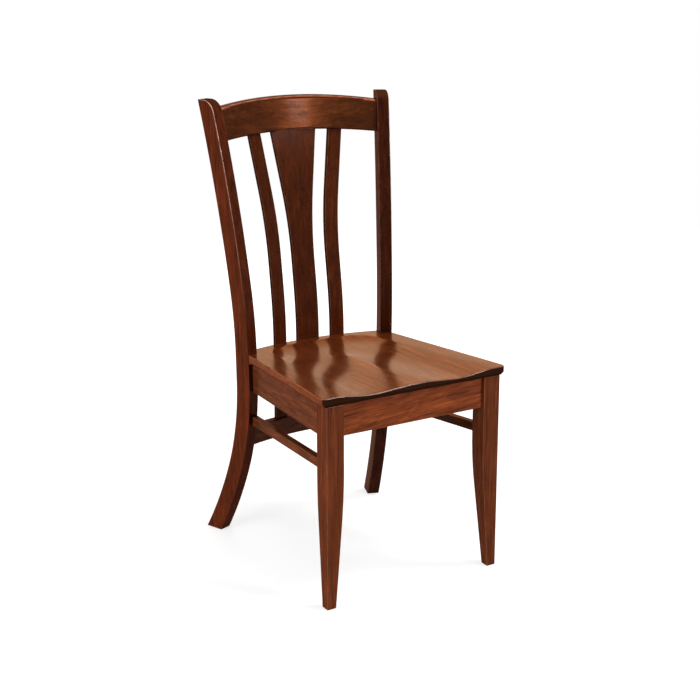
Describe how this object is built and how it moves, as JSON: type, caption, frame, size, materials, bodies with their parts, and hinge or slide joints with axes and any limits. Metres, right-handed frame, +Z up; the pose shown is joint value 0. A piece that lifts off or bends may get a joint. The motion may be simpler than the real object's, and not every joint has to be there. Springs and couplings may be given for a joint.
{
  "type": "side chair",
  "caption": "Armless wooden dining chair with sabre rear posts, bowed crest rail, flared splat and side slats, saddled seat, tapered front legs and side stretchers.",
  "frame": {"origin": "on the floor, at the middle of the whole chair's width and depth", "axes": "+Z up from the feet to the top of the posts, +X to the right seen from the front, the sitter faces -Y"},
  "size_m": [0.4886, 0.546, 1.0108],
  "materials": {
    "post_wood": "stained dark reddish brown under a glossy clear lacquer, grain along the post",
    "leg_wood": "stained dark reddish brown under a glossy clear lacquer, grain along the leg",
    "crest_wood": "stained dark reddish brown under a glossy clear lacquer, grain across the chair",
    "slat_wood": "stained dark reddish brown under a glossy clear lacquer, grain upright",
    "apron_wood": "stained dark reddish brown under a glossy clear lacquer, figured grain across the chair",
    "rail_wood": "stained dark reddish brown under a glossy clear lacquer, grain along the rail",
    "seat_wood": "stained dark reddish brown under a glossy clear lacquer, grain from front to back, redder and lighter than the frame",
    "block_wood": "sawn and left unfinished",
    "screw_steel": "zinc plated"
  },
  "bodies": {
    "root": {"rear_post_left": "post_wood", "rear_post_right": "post_wood", "front_leg_left": "leg_wood", "front_leg_right": "leg_wood", "crest_rail": "crest_wood", "center_splat": "slat_wood", "slat_left": "slat_wood", "slat_right": "slat_wood", "lower_back_rail": "rail_wood", "front_apron": "apron_wood", "rear_apron": "rail_wood", "side_apron_left": "rail_wood", "side_apron_right": "rail_wood", "side_stretcher_left": "rail_wood", "side_stretcher_right": "rail_wood", "seat_board_1": "seat_wood", "seat_board_2": "seat_wood", "seat_board_3": "seat_wood", "seat_board_4": "seat_wood", "seat_board_5": "seat_wood", "corner_block_front_left": "block_wood", "corner_block_front_right": "block_wood", "corner_block_rear_left": "block_wood", "corner_block_rear_right": "block_wood", "block_screws": "screw_steel", "seat_screws": "screw_steel"}
  },
  "joints": []
}
